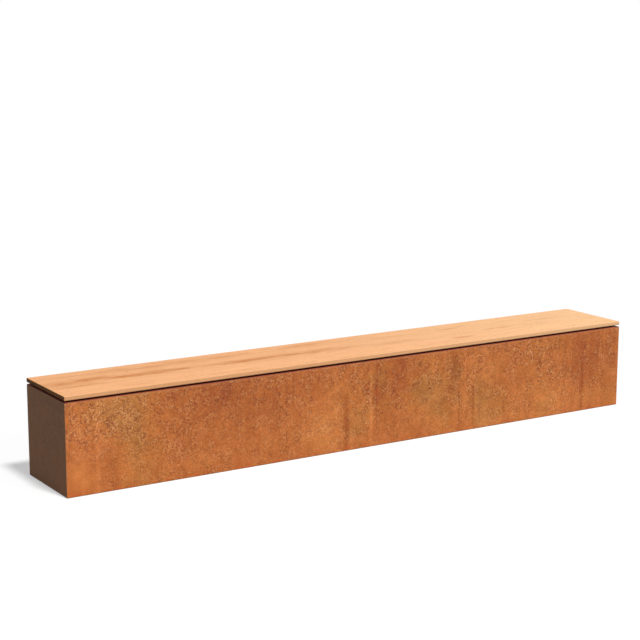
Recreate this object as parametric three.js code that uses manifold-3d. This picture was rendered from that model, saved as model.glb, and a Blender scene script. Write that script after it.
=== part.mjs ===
// A long park bench: a hardwood seat that floats over a closed trough of folded weathering steel.
// Millimetres. +X runs along the seat, the front faces -Y, +Z is up.
// The origin is on the ground, under the middle of the bench.

import * as THREE from 'three';
import { mergeVertices } from 'three/addons/utils/BufferGeometryUtils.js';
import Module from 'manifold-3d';

const wasm = await Module();
wasm.setup();

// Overall size
const benchLength = 3000;
const benchDepth = 400;
const benchHeight = 430;

// Clearances, and the overrun of every cutter
const weldGap = 0.3;
const fitGap = 0.3;
const threadGap = 0.1;
const overrun = 5;

// Folded steel walls
const sheet = 3;
const bendRadius = 1;
const topReturn = 55;
const baseReturn = 30;

// Seat boards, laid tight with a tongue in a groove
const boardCount = 3;
const boardThickness = 18;
const boardGap = 0.3;
const boardArris = 1.5;
const tongueLength = 8;
const tongueThickness = 6;

// Flat bars that carry the boards: their thickness is the shadow gap under the seat
const bearerCount = 6;
const shadowGap = 8;
const bearerWidth = 60;
const bearerSetback = 40;
const bearerEndInset = 100;

// Screws, driven up through the bearers into the boards
const screwRadius = 2.5;
const screwLength = 20;
const screwTip = 4;
const screwHeadRadius = 5;
const screwHeadHeight = 3;
const screwHeadCrown = 1;
const screwSocketRadius = 1.7;
const screwSocketDepth = 1.6;
const screwHoleGap = 0.5;
const screwReturnClear = 7;

// Channels that tie the walls across the open base and hold the feet
const beamWidth = 80;
const beamHeight = 40;
const beamSheet = 4;
const beamBendRadius = 4;
const beamEndInset = 200;

// Levelling feet
const footTravel = 20;
const studRadius = 6;
const studChamfer = 1;
const studReserve = 3;
const collarAcrossFlats = 14;
const collarHeight = 8;
const padRadius = 22;
const padHeight = 12;
const padEdge = 4;
const padChamfer = 1;
const padNeckRadius = 11;
const padSocketDepth = 7;
const padClear = 8;
const nutAcrossFlats = 18;
const nutHeight = 10.8;
const nutChamferAngle = Math.PI / 6;

// Sides of round pieces, and steps in a quarter bend
const roundSides = 20;
const screwSides = 12;
const bendSteps = 3;
const hexSides = 6;
const nutBlankSides = 24;

// Places that follow from the sizes above
const wallHeight = benchHeight - boardThickness - shadowGap;
const seatUnderside = wallHeight + shadowGap;
const boardWidth = (benchDepth - (boardCount - 1) * boardGap) / boardCount;
const boardPitch = boardWidth + boardGap;
const beamTop = sheet + beamHeight;
const footInset = baseReturn + padRadius + padClear;
const padSocketFloor = padHeight - padSocketDepth;
const studTop = beamTop + nutHeight + footTravel + studReserve;

// Materials, one new one for each piece
const weatheringSteel = () => new THREE.MeshStandardMaterial({
  color: '#b06a3e', roughness: 0.86, metalness: 0.15,
});
const innerSteel = () => new THREE.MeshStandardMaterial({
  color: '#8a5332', roughness: 0.88, metalness: 0.2,
});
const hardwood = () => new THREE.MeshStandardMaterial({
  color: '#dca572', roughness: 0.55, metalness: 0,
});
const stainlessSteel = () => new THREE.MeshStandardMaterial({
  color: '#b9bbbd', roughness: 0.32, metalness: 1,
});
const nylon = () => new THREE.MeshStandardMaterial({
  color: '#232427', roughness: 0.6, metalness: 0,
});

const bench = new THREE.Group();

function addPiece(name, geometry, material) {
  const piece = new THREE.Mesh(geometry, material);
  piece.name = name;
  bench.add(piece);
  return piece;
}

// Closed geometry to a solid that can be joined and cut, and back
function toSolid(geometry) {
  const bare = geometry.clone();
  bare.deleteAttribute('normal');
  bare.deleteAttribute('uv');
  const merged = mergeVertices(bare);
  return new wasm.Manifold(new wasm.Mesh({
    numProp: 3,
    vertProperties: new Float32Array(merged.attributes.position.array),
    triVerts: new Uint32Array(merged.index.array),
  }));
}

function toGeometry(solid) {
  const mesh = solid.getMesh();
  const geometry = new THREE.BufferGeometry();
  geometry.setAttribute('position', new THREE.BufferAttribute(mesh.vertProperties, mesh.numProp));
  geometry.setIndex(new THREE.BufferAttribute(mesh.triVerts, 1));
  geometry.computeVertexNormals();
  return geometry;
}

// A flat outline drawn out along one axis, half to each side of zero.
// Along X the outline lies in Y and Z, along Y in X and Z, along Z in X and Y.
const drawnAlong = {
  x: new THREE.Matrix4().makeBasis(
    new THREE.Vector3(0, 1, 0), new THREE.Vector3(0, 0, 1), new THREE.Vector3(1, 0, 0)),
  y: new THREE.Matrix4().makeBasis(
    new THREE.Vector3(1, 0, 0), new THREE.Vector3(0, 0, 1), new THREE.Vector3(0, -1, 0)),
  z: new THREE.Matrix4(),
};

function drawn(outline, length, axis) {
  const geometry = new THREE.ExtrudeGeometry(outline, {
    depth: length, bevelEnabled: false, curveSegments: bendSteps,
  });
  geometry.translate(0, 0, -length / 2);
  return geometry.applyMatrix4(drawnAlong[axis]);
}

// A profile of radius and height turned about the Z axis. It starts and ends on that axis.
function turned(profile, sides) {
  const points = profile.map(([radius, height]) => new THREE.Vector2(radius, height));
  return new THREE.LatheGeometry(points, sides).rotateX(Math.PI / 2);
}

// An upright rod, round or six-sided, from one height to another
function upright(radius, low, high, sides) {
  const rod = new THREE.CylinderGeometry(radius, radius, high - low, sides);
  return rod.rotateX(Math.PI / 2).translate(0, 0, (low + high) / 2);
}

function hexUpright(acrossFlats, low, high) {
  return upright(acrossFlats / 2 / Math.cos(Math.PI / hexSides), low, high, hexSides);
}

// Folded wall: a sheet with a return along its top and another along its foot, mitred at both ends.
// It lies along X with its outside on Y = 0, and its returns point to +Y.
function foldedOutline() {
  const bend = bendRadius + sheet;
  const quarter = Math.PI / 2;
  const outline = new THREE.Shape();
  outline.moveTo(baseReturn, sheet);
  outline.lineTo(bend, sheet);
  outline.absarc(bend, bend, bendRadius, -quarter, -2 * quarter, true);
  outline.lineTo(sheet, wallHeight - bend);
  outline.absarc(bend, wallHeight - bend, bendRadius, 2 * quarter, quarter, true);
  outline.lineTo(topReturn, wallHeight - sheet);
  outline.lineTo(topReturn, wallHeight);
  outline.lineTo(bend, wallHeight);
  outline.absarc(bend, wallHeight - bend, bend, quarter, 2 * quarter, false);
  outline.lineTo(0, bend);
  outline.absarc(bend, bend, bend, 2 * quarter, 3 * quarter, false);
  outline.lineTo(baseReturn, 0);
  return outline;
}

function mitreOutline(length) {
  const reach = Math.max(topReturn, baseReturn) + overrun;
  const halfOutside = length / 2 - weldGap / Math.SQRT2;
  return new THREE.Shape([
    new THREE.Vector2(-halfOutside - overrun, -overrun),
    new THREE.Vector2(halfOutside + overrun, -overrun),
    new THREE.Vector2(halfOutside - reach, reach),
    new THREE.Vector2(-halfOutside + reach, reach),
  ]);
}

function foldedWall(length) {
  const folded = toSolid(drawn(foldedOutline(), length + 2 * overrun, 'x'));
  const mitre = drawn(mitreOutline(length), wallHeight + 2 * overrun, 'z').translate(0, 0, wallHeight / 2);
  return toGeometry(folded.intersect(toSolid(mitre)));
}

const walls = [
  { name: 'front_panel', length: benchLength, x: 0, y: -benchDepth / 2, quarterTurns: 0 },
  { name: 'right_end_panel', length: benchDepth, x: benchLength / 2, y: 0, quarterTurns: 1 },
  { name: 'back_panel', length: benchLength, x: 0, y: benchDepth / 2, quarterTurns: 2 },
  { name: 'left_end_panel', length: benchDepth, x: -benchLength / 2, y: 0, quarterTurns: 3 },
];

for (const wall of walls) {
  const piece = addPiece(wall.name, foldedWall(wall.length), weatheringSteel());
  piece.position.set(wall.x, wall.y, 0);
  piece.rotation.z = wall.quarterTurns * Math.PI / 2;
}

// Where the bearers lie along the seat, and where each board is screwed across it.
// The outer screws stand just inside the top returns, so that a driver reaches them from below.
const firstBearer = -benchLength / 2 + bearerEndInset;
const bearerPitch = (benchLength - 2 * bearerEndInset) / (bearerCount - 1);
const bearerPlaces = Array.from({ length: bearerCount }, (_, index) => firstBearer + index * bearerPitch);

const outerScrew = benchDepth / 2 - topReturn - screwReturnClear - screwHeadRadius;
const screwPitch = 2 * outerScrew / (boardCount - 1);
const screwPlaces = Array.from({ length: boardCount }, (_, index) => -outerScrew + index * screwPitch);
const boardFronts = Array.from({ length: boardCount }, (_, index) => -benchDepth / 2 + index * boardPitch);

// Seat bearers: flat bars on the top returns, set back so that they stay out of sight
function bearerGeometry() {
  const bar = new THREE.BoxGeometry(bearerWidth, benchDepth - 2 * bearerSetback, shadowGap);
  let solid = toSolid(bar.translate(0, 0, shadowGap / 2));
  for (const y of screwPlaces) {
    const hole = upright(screwRadius + screwHoleGap, -overrun, shadowGap + overrun, screwSides);
    solid = solid.subtract(toSolid(hole.translate(0, y, 0)));
  }
  return toGeometry(solid);
}

bearerPlaces.forEach((x, index) => {
  const bearer = addPiece(`seat_bearer_${index + 1}`, bearerGeometry(), innerSteel());
  bearer.position.set(x, 0, wallHeight);
});

// Seat boards. Each lies along X, with its front edge on Y = 0 and its underside on Z = 0.
function boardOutline(hasGroove, hasTongue) {
  const tongueLow = (boardThickness - tongueThickness) / 2;
  const tongueHigh = tongueLow + tongueThickness;
  const grooveDepth = tongueLength - boardGap + fitGap;
  const quarter = Math.PI / 2;
  const outline = new THREE.Shape();
  if (hasGroove) {
    outline.moveTo(0, boardThickness);
    outline.lineTo(0, tongueHigh + fitGap);
    outline.lineTo(grooveDepth, tongueHigh + fitGap);
    outline.lineTo(grooveDepth, tongueLow - fitGap);
    outline.lineTo(0, tongueLow - fitGap);
    outline.lineTo(0, 0);
  } else {
    outline.moveTo(boardArris, boardThickness);
    outline.absarc(boardArris, boardThickness - boardArris, boardArris, quarter, 2 * quarter, false);
    outline.lineTo(0, boardArris);
    outline.absarc(boardArris, boardArris, boardArris, 2 * quarter, 3 * quarter, false);
  }
  if (hasTongue) {
    outline.lineTo(boardWidth, 0);
    outline.lineTo(boardWidth, tongueLow);
    outline.lineTo(boardWidth + tongueLength, tongueLow);
    outline.lineTo(boardWidth + tongueLength, tongueHigh);
    outline.lineTo(boardWidth, tongueHigh);
    outline.lineTo(boardWidth, boardThickness);
  } else {
    outline.lineTo(boardWidth - boardArris, 0);
    outline.absarc(boardWidth - boardArris, boardArris, boardArris, -quarter, 0, false);
    outline.lineTo(boardWidth, boardThickness - boardArris);
    outline.absarc(boardWidth - boardArris, boardThickness - boardArris, boardArris, 0, quarter, false);
  }
  return outline;
}

// The side view of a board: its long rectangle with all four corners eased
function easedOutline() {
  const reach = benchLength / 2 - boardArris;
  const high = boardThickness - boardArris;
  const quarter = Math.PI / 2;
  const outline = new THREE.Shape();
  outline.absarc(reach, high, boardArris, 0, quarter, false);
  outline.absarc(-reach, high, boardArris, quarter, 2 * quarter, false);
  outline.absarc(-reach, boardArris, boardArris, 2 * quarter, 3 * quarter, false);
  outline.absarc(reach, boardArris, boardArris, 3 * quarter, 4 * quarter, false);
  return outline;
}

function boardGeometry(index) {
  const outline = boardOutline(index > 0, index < boardCount - 1);
  const planed = toSolid(drawn(outline, benchLength + 2 * overrun, 'x'));
  const easedWidth = boardWidth + 2 * (tongueLength + overrun);
  const eased = drawn(easedOutline(), easedWidth, 'y').translate(0, boardWidth / 2, 0);
  let solid = planed.intersect(toSolid(eased));
  const pilotDepth = screwLength - shadowGap + fitGap;
  for (const x of bearerPlaces) {
    const pilot = upright(screwRadius + fitGap, -overrun, pilotDepth, screwSides);
    solid = solid.subtract(toSolid(pilot.translate(x, screwPlaces[index] - boardFronts[index], 0)));
  }
  return toGeometry(solid);
}

const boardNames = ['front', 'middle', 'back'];

boardNames.forEach((place, index) => {
  const board = addPiece(`seat_board_${place}`, boardGeometry(index), hardwood());
  board.position.set(0, boardFronts[index], seatUnderside);
});

// Seat screws: a crowned head with a six-sided socket, and a pointed shank. Zero is under the head.
function screwGeometry() {
  const turnedScrew = turned([
    [0, -screwHeadHeight],
    [screwHeadRadius / 2, -screwHeadHeight],
    [screwHeadRadius, -screwHeadHeight + screwHeadCrown],
    [screwHeadRadius, 0],
    [screwRadius, 0],
    [screwRadius, screwLength - screwTip],
    [0, screwLength],
  ], screwSides);
  const socketFloor = -screwHeadHeight + screwSocketDepth;
  const socket = upright(screwSocketRadius, -screwHeadHeight - overrun, socketFloor, hexSides);
  return toGeometry(toSolid(turnedScrew).subtract(toSolid(socket)));
}

bearerPlaces.forEach((x, bearerIndex) => {
  screwPlaces.forEach((y, boardIndex) => {
    const number = bearerIndex * boardCount + boardIndex + 1;
    const screw = addPiece(`seat_screw_${number}`, screwGeometry(), stainlessSteel());
    screw.position.set(x, y, wallHeight);
  });
});

// Foot beams: channels turned open side down on the base returns, each with two threaded bosses
const footPlaces = [-benchDepth / 2 + footInset, benchDepth / 2 - footInset];

function beamOutline() {
  const half = beamWidth / 2;
  const bend = beamBendRadius + beamSheet;
  const quarter = Math.PI / 2;
  const outline = new THREE.Shape();
  outline.moveTo(-half, 0);
  outline.lineTo(-half + beamSheet, 0);
  outline.absarc(-half + bend, beamHeight - bend, beamBendRadius, 2 * quarter, quarter, true);
  outline.absarc(half - bend, beamHeight - bend, beamBendRadius, quarter, 0, true);
  outline.lineTo(half - beamSheet, 0);
  outline.lineTo(half, 0);
  outline.absarc(half - bend, beamHeight - bend, bend, 0, quarter, false);
  outline.absarc(-half + bend, beamHeight - bend, bend, quarter, 2 * quarter, false);
  return outline;
}

function beamGeometry() {
  const length = benchDepth - 2 * (sheet + bendRadius + fitGap);
  const bossLow = beamHeight - beamSheet - nutHeight;
  let solid = toSolid(drawn(beamOutline(), length, 'y'));
  for (const y of footPlaces) {
    const boss = hexUpright(nutAcrossFlats, bossLow, beamHeight - beamSheet / 2);
    const bore = upright(studRadius + threadGap, bossLow - overrun, beamHeight + overrun, roundSides);
    solid = solid.add(toSolid(boss.translate(0, y, 0))).subtract(toSolid(bore.translate(0, y, 0)));
  }
  return toGeometry(solid);
}

const beams = [
  { name: 'foot_beam_left', x: -benchLength / 2 + beamEndInset },
  { name: 'foot_beam_middle', x: 0 },
  { name: 'foot_beam_right', x: benchLength / 2 - beamEndInset },
];

for (const beam of beams) {
  addPiece(beam.name, beamGeometry(), innerSteel()).position.set(beam.x, 0, sheet);
}

// Foot pads: a low cone with a socket for the stud. Zero is the ground.
function padGeometry() {
  const cone = turned([
    [0, 0],
    [padRadius - padChamfer, 0],
    [padRadius, padChamfer],
    [padRadius, padEdge],
    [padNeckRadius, padHeight],
    [0, padHeight],
  ], roundSides);
  const socket = upright(studRadius + fitGap, padSocketFloor, padHeight + overrun, roundSides);
  return toGeometry(toSolid(cone).subtract(toSolid(socket)));
}

// Foot studs: a threaded rod that stands in the pad, with a six-sided collar for a spanner
function studGeometry() {
  const rod = turned([
    [0, padSocketFloor],
    [studRadius - studChamfer, padSocketFloor],
    [studRadius, padSocketFloor + studChamfer],
    [studRadius, studTop - studChamfer],
    [studRadius - studChamfer, studTop],
    [0, studTop],
  ], roundSides);
  const collarLow = padHeight + fitGap;
  const collar = hexUpright(collarAcrossFlats, collarLow, collarLow + collarHeight);
  return toGeometry(toSolid(rod).add(toSolid(collar)));
}

// Lock nuts, run down on the beams: a six-sided nut whose corners are turned off at both faces
function nutGeometry() {
  const flat = nutAcrossFlats / 2;
  const corner = flat / Math.cos(Math.PI / hexSides);
  const fall = (corner - flat) * Math.tan(nutChamferAngle);
  const turnedBlank = turned([
    [0, 0],
    [flat, 0],
    [corner, fall],
    [corner, nutHeight - fall],
    [flat, nutHeight],
    [0, nutHeight],
  ], nutBlankSides);
  const hexagon = hexUpright(nutAcrossFlats, -overrun, nutHeight + overrun);
  const bore = upright(studRadius + threadGap, -overrun, nutHeight + overrun, roundSides);
  return toGeometry(toSolid(turnedBlank).intersect(toSolid(hexagon)).subtract(toSolid(bore)));
}

beams.forEach((beam, beamIndex) => {
  footPlaces.forEach((y, sideIndex) => {
    const number = beamIndex * footPlaces.length + sideIndex + 1;
    addPiece(`foot_pad_${number}`, padGeometry(), nylon()).position.set(beam.x, y, 0);
    addPiece(`foot_stud_${number}`, studGeometry(), stainlessSteel()).position.set(beam.x, y, 0);
    addPiece(`lock_nut_${number}`, nutGeometry(), stainlessSteel()).position.set(beam.x, y, beamTop);
  });
});

export default bench;
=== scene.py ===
# %% [markdown]
# # A long bench of weathering steel and hardwood
# The object is a park bench three metres long: a closed trough folded from weathering steel, with a thin
# hardwood seat that floats over it on a dark gap. The construction model of it is loaded first and stays as
# it is. This file dresses that model with real finishes, adds the small pieces that repeat, and lights it.
# Lengths are in metres, and a name that ends in _mm is in millimetres.

# %% Load the construction model
import math

import bmesh
import bpy
from mathutils import Matrix, Vector


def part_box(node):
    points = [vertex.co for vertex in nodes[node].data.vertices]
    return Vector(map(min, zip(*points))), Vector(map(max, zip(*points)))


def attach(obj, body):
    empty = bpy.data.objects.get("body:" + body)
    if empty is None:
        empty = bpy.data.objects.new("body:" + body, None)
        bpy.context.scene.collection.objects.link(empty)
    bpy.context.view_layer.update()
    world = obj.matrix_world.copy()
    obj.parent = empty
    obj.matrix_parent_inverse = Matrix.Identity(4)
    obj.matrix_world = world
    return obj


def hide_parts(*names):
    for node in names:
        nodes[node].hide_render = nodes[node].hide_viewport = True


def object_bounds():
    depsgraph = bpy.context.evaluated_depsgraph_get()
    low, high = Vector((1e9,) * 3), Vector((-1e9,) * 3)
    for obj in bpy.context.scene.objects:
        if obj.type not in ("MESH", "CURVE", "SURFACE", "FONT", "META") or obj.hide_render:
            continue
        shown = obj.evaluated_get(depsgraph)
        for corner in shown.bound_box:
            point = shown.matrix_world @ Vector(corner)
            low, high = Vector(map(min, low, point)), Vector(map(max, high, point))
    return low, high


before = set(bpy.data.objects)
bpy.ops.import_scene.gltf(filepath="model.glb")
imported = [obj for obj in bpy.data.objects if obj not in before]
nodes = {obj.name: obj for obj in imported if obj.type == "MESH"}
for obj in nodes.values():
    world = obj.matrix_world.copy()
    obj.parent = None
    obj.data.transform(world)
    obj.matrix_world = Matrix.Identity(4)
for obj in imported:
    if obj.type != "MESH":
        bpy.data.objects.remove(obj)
cad_bounds = [list(corner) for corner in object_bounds()]
mm = 0.001
print("construction model:", len(nodes), "pieces, corners", cad_bounds)

# %% [markdown]
# ## Sizes read from the model
# Every place below is worked out from the boxes of the real pieces, so nothing has to be fitted by eye,
# and the finish follows the model if its sizes change.

# %% Read the sizes
bench_low, bench_high = (Vector(corner) for corner in cad_bounds)
bench_depth = bench_high.y - bench_low.y
wall_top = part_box("front_panel")[1].z
seat_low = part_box("seat_board_middle")[0].z
print(f"steel to {wall_top / mm:.0f} mm, gap to {seat_low / mm:.0f} mm, seat to {bench_high.z / mm:.0f} mm")

# %% [markdown]
# ## Three helpers
# Colours are written as the hex values that a paint chart shows. A renderer adds up light in linear
# values, so one function turns them. A second puts an object into the scene. A third adds a node to a tree,
# so that a material or a Geometry Nodes tree is a list of calls that reads from top to bottom. A number
# stands for a socket, counted from the top of the node. On Map Range, 1 and 2 are the ends of what comes
# in, and 3 and 4 the ends of what goes out. On Mix for colours, 0 is the share, 6 and 7 are the two
# colours, and output 2 is the result.

# %% Helpers for colours, objects and nodes
def linear(hex_colour):
    """A hex colour such as #b86e3f as linear red, green, blue and alpha."""
    shares = [int(hex_colour[i:i + 2], 16) / 255 for i in (1, 3, 5)]
    turned_linear = [s / 12.92 if s <= 0.04045 else ((s + 0.055) / 1.055) ** 2.4 for s in shares]
    return (*turned_linear, 1.0)


def put(name, data):
    """A new object in the scene, with a mesh, a camera or a lamp as its data."""
    made = bpy.data.objects.new(name, data)
    bpy.context.scene.collection.objects.link(made)
    return made


def add(tree, kind, inputs=None, stops=None, **settings):
    """Adds a node, with what its sockets get, the stops of a ramp, and its settings.

    A socket gets a value, or another node's socket, or a node, which then gives its first output. Most
    kinds of node have a name that starts with ShaderNode, so that start is left out.
    """
    has_own_start = kind.startswith(("GeometryNode", "NodeGroup"))
    made = tree.nodes.new(kind if has_own_start else "ShaderNode" + kind)
    for name, value in settings.items():
        setattr(made, name, value)
    for socket, feed in (inputs or {}).items():
        if isinstance(feed, bpy.types.Node):
            feed = feed.outputs[0]
        if isinstance(feed, bpy.types.NodeSocket):
            tree.links.new(feed, made.inputs[socket])
        else:
            made.inputs[socket].default_value = feed
    if stops:
        elements = made.color_ramp.elements
        while len(elements) < len(stops):
            elements.new(1.0)
        for element, (place, colour) in zip(elements, stops):
            element.position = place
            element.color = colour
    return made

# %% [markdown]
# ## The camera
# The photograph was taken from ahead of the left end, a little above the seat, with a long lens: the far
# end looks hardly smaller than the near one. The place and the angles were solved from the corners of the
# bench in the picture, with the real length of three metres.

# %% Place the camera
camera_place = Vector((-4.0070, -6.1226, 2.0020))
camera_turn = math.radians(-32.207)
camera_dip = math.radians(11.162)
camera_roll = math.radians(0.097)

camera_data = bpy.data.cameras.new("camera")
camera_data.sensor_width = 36
camera_data.lens = 90.74
camera_data.clip_end = 500
camera = put("camera", camera_data)
level_turn = Matrix.Rotation(camera_turn, 4, "Z") @ Matrix.Rotation(math.pi / 2 - camera_dip, 4, "X")
camera.matrix_world = Matrix.Translation(camera_place) @ level_turn @ Matrix.Rotation(camera_roll, 4, "Z")
bpy.context.scene.camera = camera
print("camera at", [round(v, 2) for v in camera_place], "with a lens of", camera_data.lens, "mm")

# %% [markdown]
# ## Light
# The soft edge of the shadow behind the left end tells where the main light hangs: high, in front, and a
# touch to the right. It makes the seat the brightest face. A weaker low light from the front right lifts
# the long wall, and the left end lies in shade. A third lamp hangs low behind the bench, so that the back
# and the right end show their rust too when one walks round, and it reaches neither the front nor the left
# end. Sun lamps suit all three, because a white studio lights a three metre bench evenly. Their strength is
# pi times the light that a face square to them gets. The lamp behind is level and kept out of reflections,
# because the seat would mirror it into the camera.

# %% Hang the lamps
def sun(name, towards, light, width_degrees, colour, mirrored=True):
    """A distant lamp: where it hangs, the light it gives a face square to it, and how wide it looks."""
    data = bpy.data.lights.new(name, "SUN")
    data.energy = math.pi * light
    data.angle = math.radians(width_degrees)
    data.color = linear(colour)[:3]
    lamp = put(name, data)
    lamp.rotation_euler = Vector(towards).to_track_quat("Z", "Y").to_euler()
    lamp.visible_glossy = mirrored
    print(name, "lights a face square to it with", light)


sun("key_light", (0.077, -0.446, 0.892), light=1.16, width_degrees=9, colour="#fffaf4")
sun("front_fill", (0.38, -0.87, 0.31), light=0.255, width_degrees=40, colour="#ffffff")
sun("back_fill", (0.46, 0.89, 0.01), light=0.44, width_degrees=6, colour="#ffffff", mirrored=False)

# %% [markdown]
# ## The white room and the floor
# The room gives the object only a little light, so the shaded end stays dark, yet the picture's ground is
# white. Light Path tells the two apart: for a ray from the camera, or one that a gloss or a glass sends
# on, room and floor are white, and for the light that falls on the object they are dim. The floor also
# takes real light there, so it shows the bench's shadow.

# %% Make the room and the floor
room_light = 0.106
floor_glow = 0.486
floor_half = 60.0


def fresh(store, name):
    """A new material or world, and its node tree with nothing in it yet."""
    made = store.new(name)
    made.use_nodes = True
    made.node_tree.nodes.clear()
    return made, made.node_tree


def end_with_two_faces(tree, end, dim, bright):
    """Ends a tree with bright for a ray from the camera, a gloss or a glass, and dim for all other light."""
    path = add(tree, "LightPath").outputs
    gloss = add(tree, "Math", {0: path["Is Camera Ray"], 1: path["Is Glossy Ray"]}, operation="MAXIMUM")
    seen = add(tree, "Math", {0: gloss, 1: path["Is Transmission Ray"]}, operation="MAXIMUM")
    add(tree, end, {"Surface": add(tree, "MixShader", {0: seen, 1: dim, 2: bright})})


room, tree = fresh(bpy.data.worlds, "white_room")
bpy.context.scene.world = room
dim = add(tree, "Background", {"Color": linear("#dfe9ff"), "Strength": room_light})
white = add(tree, "Background", {"Color": linear("#ffffff"), "Strength": 1.0})
end_with_two_faces(tree, "OutputWorld", dim, white)

floor_corners = [(x * floor_half, y * floor_half, 0) for x, y in ((-1, -1), (1, -1), (1, 1), (-1, 1))]
floor_mesh = bpy.data.meshes.new("floor")
floor_mesh.from_pydata(floor_corners, [], [(0, 1, 2, 3)])
floor = put("floor", floor_mesh)

floor_paint, tree = fresh(bpy.data.materials, "white_studio_floor")
glow = add(tree, "Emission", {"Color": linear("#ffffff"), "Strength": floor_glow})
lit = add(tree, "BsdfDiffuse", {"Color": linear("#b1b4b7")})
dull = add(tree, "BsdfDiffuse", {"Color": linear("#454545")})
end_with_two_faces(tree, "OutputMaterial", dull, add(tree, "AddShader", {0: glow, 1: lit}))
floor_mesh.materials.append(floor_paint)
bpy.context.scene.view_settings.view_transform = "Standard"
print("floor", 2 * floor_half, "m wide")

# %% [markdown]
# ## Patterns of a real size
# Rust, wood and moulded plastic are all made of patches of some size: a rust bloom is as wide as a hand,
# a pit as a grain of rice. A noise texture gives such patches, and the Mapping node before it stretches
# them, so one helper takes their real width along each axis in millimetres. A second lets such patches push
# every point about a little, which frays the outline of whatever is drawn on the result. A third lays one
# colour after another over a first, as coats of stain go over wood. The last ends a material with a relief
# that only bends the light, because the real one is a fraction of a millimetre deep.

# %% Helpers for patches, coats and relief
def patches(tree, width_mm, seed=0.0, detail=2.0, rough=0.5, twist=0.0, output=0, place=None):
    """A cloudy pattern from 0 to 1, its patches as wide as told along X, Y and Z; output 1 is a vector."""
    if place is None:
        place = add(tree, "TexCoord").outputs["Object"]
    per_metre = tuple(1 / (width * mm) for width in width_mm)
    scaled = add(tree, "Mapping", {"Vector": place, "Location": (seed,) * 3, "Scale": per_metre})
    noise = add(tree, "TexNoise", {
        "Vector": scaled, "Scale": 1.0, "Detail": detail, "Roughness": rough, "Distortion": twist})
    return noise.outputs[output]


def pushed_about(tree, width_mm, seed, by_mm, still=0.5):
    """The place of each point after patches pushed it; a patch whose value equals still pushes nothing."""
    push = patches(tree, width_mm, seed, output=1)
    centred = add(tree, "VectorMath", {0: push, 1: (still,) * 3}, operation="SUBTRACT")
    place = add(tree, "TexCoord").outputs["Object"]
    return add(tree, "VectorMath", {0: centred, 1: (by_mm * mm,) * 3, 2: place}, operation="MULTIPLY_ADD")


def coated(tree, colour, coats, blend="MIX"):
    """A colour with coats over it, each a share from 0 to 1 and the coat's own colour."""
    for share, coat in coats:
        over = add(tree, "Mix", {0: share, 6: colour, 7: coat}, data_type="RGBA", blend_type=blend)
        colour = over.outputs[2]
    return colour


def end_material(tree, looks, relief, depth_mm, strength=1.0):
    """Ends a material with what its shader gets, and with a relief as deep as told."""
    bump = add(tree, "Bump", {"Height": relief, "Distance": depth_mm * mm, "Strength": strength})
    add(tree, "OutputMaterial", {"Surface": add(tree, "BsdfPrincipled", {"Normal": bump, **looks})})

# %% [markdown]
# ## Weathering steel
# The steel is never painted: rain and sun turn its skin into a tight layer of rust. From a step away the
# rust is orange brown, with olive and redder clouds as wide as an arm is long, and with lighter and darker
# runs where water came down from the top edge. One could leave all of that to noise, but clouds and runs
# are what one knows this wall by, so the large ones are placed one by one as soft ovals on the front wall,
# and noise only bends their outlines. The other walls have clouds of noise alone.

# %% Colours of the rust
rust_red = linear("#b25d22")
rust_orange = linear("#bf6929")
rust_tan = linear("#c3702c")
rust_olive = linear("#b6712f")
pit_brown = linear("#742a07")
grain_tan = linear("#ebb67c")
shade_tint = linear("#ffd6c0")
# painted shade of the gap under the seat
flange_shade_brown = linear("#6e1702")
# painted shade of the left end
end_shade_grey = linear("#b49b7a")
bleached_tan = linear("#daa373")
fresh_red = linear("#cf5b21")

# %% Places of the clouds and the runs
# Each row holds the middle along and up the wall, the half width and half height, in mm, and a strength.
# A tone above 0 is redder and below 0 more olive. A light above 0 is lighter. A crowd above 0 has more
# pits and grains.
tone_marks = [
    (-1165, 200, 170, 330, -0.55), (-1330, 330, 220, 150, -0.45), (-760, 320, 420, 260, 0.35),
    (-330, 360, 170, 120, 0.25), (-260, 70, 170, 170, -0.25), (-65, 90, 90, 160, -0.40),
    (60, 330, 90, 150, -0.35), (180, 340, 170, 150, 0.20), (290, 220, 150, 320, -0.45),
    (420, 120, 130, 280, -0.40), (482, 330, 50, 200, -0.35), (640, 110, 160, 260, -0.50),
    (1010, 60, 300, 170, -0.10), (1300, 290, 190, 230, 0.20)]
light_marks = [
    (-1300, 350, 210, 170, 0.20), (-1450, 130, 160, 260, 0.18), (-760, 330, 420, 220, -0.11),
    (-265, 120, 150, 210, 0.24), (60, 300, 150, 220, -0.17), (230, 330, 170, 160, -0.12),
    (440, 300, 60, 260, -0.08), (660, 340, 140, 140, 0.12), (660, 40, 110, 100, 0.14),
    (1040, 70, 260, 160, 0.16), (1310, 320, 200, 200, -0.17)]
crowd_marks = [
    (-1350, 330, 330, 260, 0.4), (-1440, 60, 170, 190, -0.6), (60, 330, 200, 200, 0.3),
    (1000, 200, 260, 200, 0.2), (300, 60, 170, 140, -0.3), (1380, 60, 190, 150, -0.3)]
runs = [
    (-1350, 220, 16, 320, 0.20), (-1170, 300, 12, 200, -0.16), (-410, 340, 11, 150, -0.20),
    (-132, 100, 20, 210, -0.32), (-98, 150, 20, 300, 0.10), (4, 160, 14, 280, 0.42),
    (34, 240, 11, 260, -0.20), (362, 290, 16, 300, 0.14), (482, 320, 32, 200, -0.22),
    (506, 190, 11, 320, -0.24), (540, 220, 18, 340, 0.14), (592, 110, 12, 230, -0.26),
    (760, 150, 11, 260, 0.12), (1268, 120, 16, 260, -0.32), (1384, 230, 13, 260, 0.14)]
print(len(tone_marks) + len(light_marks), "clouds and", len(runs), "runs on the front wall")

# %% Helpers for soft ovals
def on_front(rows):
    """Rows of a place along and up the wall, a half width and a half height, as ovals in space."""
    return [((along, bench_low.y / mm, up), (half_width, bench_depth / 2 / mm, half_height), strength)
            for along, up, half_width, half_height, strength in rows]


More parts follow.
